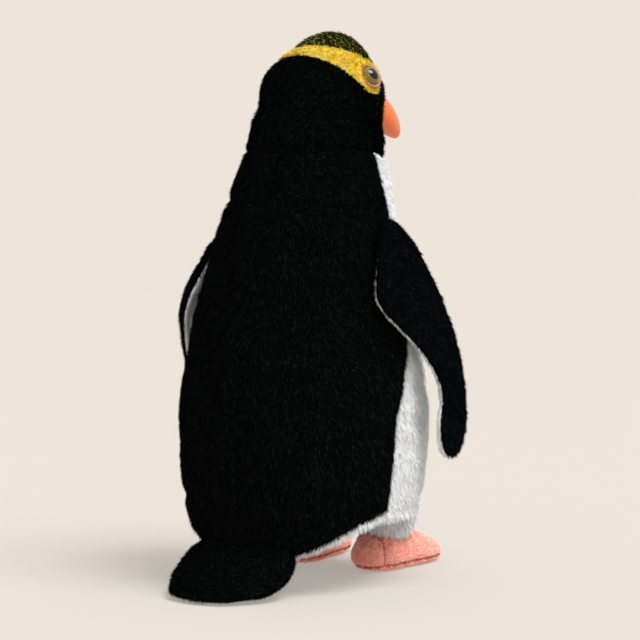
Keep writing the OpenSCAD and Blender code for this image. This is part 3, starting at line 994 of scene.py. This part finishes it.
EYE_SIDE = 84.0
EYE_UP = 45.6
EYE_OUT = 31.3
EYE_PITCH = 22.0
EYE_BACK = 13.0
EYE_R = 6.9
EYE_DROP = 3.2
PUPIL_R = 3.5
IRIS_R = 5.5
LID_R = 6.7
LID_TUBE = 0.9
RING_CUTS = 64
TUBE_CUTS = 14

PUPIL = paint("eye_pupil", (0.002, 0.002, 0.002), 0.1, 0.3, coat=0.3)
RIM = paint("eye_rim", (0.03, 0.014, 0.008), 0.15, 0.3, coat=0.4)
IRIS = [paint(f"eye_iris_{i + 1}", c, 0.15, 0.3, coat=0.4) for i, c in enumerate([
    (0.15, 0.085, 0.012), (0.22, 0.135, 0.016), (0.3, 0.19, 0.03), (0.19, 0.12, 0.015), (0.1, 0.055, 0.008)])]


def make_eye(side, word):
    place = HEAD.then(rot("Z", side * (EYE_SIDE + EYE_BACK)) @ rot("X", 90 - EYE_PITCH),
                      rot("Z", side * EYE_SIDE) @ [0, -EYE_OUT, EYE_UP])
    angles = np.linspace(0, math.acos(-0.25), 24)
    profile = [(EYE_R * math.sin(a), EYE_R * math.cos(a) - EYE_DROP + 0.3) for a in angles]
    profile = [(0, profile[0][1])] + profile[1:] + [(0, profile[-1][1])]
    ob = revolve(f"eye_{word}_ball", profile, place, segments=RING_CUTS)
    paints = [PUPIL, RIM] + IRIS
    for m in paints:
        ob.data.materials.append(m)
    centre = np.array([f.center for f in ob.data.polygons]) / MM
    q = place.into(centre)
    r = np.hypot(q[:, 0], q[:, 1])
    spoke = np.floor((np.arctan2(q[:, 1], q[:, 0]) / math.pi + 1) * 32).astype(int)
    tone = 2 + (spoke * 7 + (r * 2.5).astype(int) * 3) % len(IRIS)
    tone = np.where(r < PUPIL_R, 0, np.where((r > IRIS_R) | (q[:, 2] < 0.4), 1, tone))
    ob.data.polygons.foreach_set("material_index", tone.astype(np.int32))
    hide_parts(f"eye_{word}")
    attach(ob, "head")

    ring = np.linspace(0, 2 * math.pi, RING_CUTS, endpoint=False)
    verts, faces = [], []
    m = TUBE_CUTS
    for i, a in enumerate(ring):
        for j in range(m):
            b = 2 * math.pi * j / m
            r = LID_R + (LID_TUBE + 0.15 * math.sin(5 * a)) * math.cos(b)
            verts.append([r * math.cos(a), r * math.sin(a), -0.3 + 1.5 * math.sin(b)])
            here, there = i * m, (i + 1) % RING_CUTS * m
            faces.append([here + j, here + (j + 1) % m, there + (j + 1) % m, there + j])
    lid = new_object(f"eyelid_{word}_ring", place.out(verts), faces)
    lid.data.materials.append(LID_PINK)
    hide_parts(f"eyelid_{word}")
    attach(lid, "head")


make_eye(1, "left")
make_eye(-1, "right")


# ------------------------------------------------------------------ what stays inside

FILLING_SHRINK = 9.0


def filling(name, node, body, z0, z1, side, place):
    """A filling that is a smooth form well inside the fur that covers it."""
    wall = [(max(r - FILLING_SHRINK, 1), z) for r, z in spline(side, 40) if z0 < z < z1]
    ob = revolve(name, [(0, z0)] + wall + [(0, z1)], place, segments=64)
    ob.data.materials.append(FILLING)
    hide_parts(node)
    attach(ob, body)


filling("body_filling", "body_stuffing", "body", 68, 232, BODY_SIDE[3:], BODY)
filling("head_filling", "head_stuffing", "head", 8, 62, HEAD_SIDE[2:], HEAD)


def small_filling(name, node, body, power, shape, place, scale):
    ob = block(name, 12, power, lambda p: shape(p * scale))
    set_coords(ob, place.out(coords(ob)))
    ob.data.materials.append(FILLING)
    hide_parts(node)
    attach(ob, body)


for side, word in ((1, "left"), (-1, "right")):
    small_filling("foot_filling_" + word, "foot_stuffing_" + word, "body", 3.0, foot_shape,
                  Frame(rot("Z", side * SPLAY), heel_centre(side)), 0.8)
small_filling("tail_filling", "tail_stuffing", "tail", 2.5, tail_shape, Frame(np.eye(3), SHIFT), 0.72)

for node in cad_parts.values():
    if not node.hide_render:
        node.data.materials.clear()
        node.data.materials.append(FILLING)
for word in ("left", "right"):
    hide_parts("shoulder_seam_" + word)
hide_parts("tail_seam")
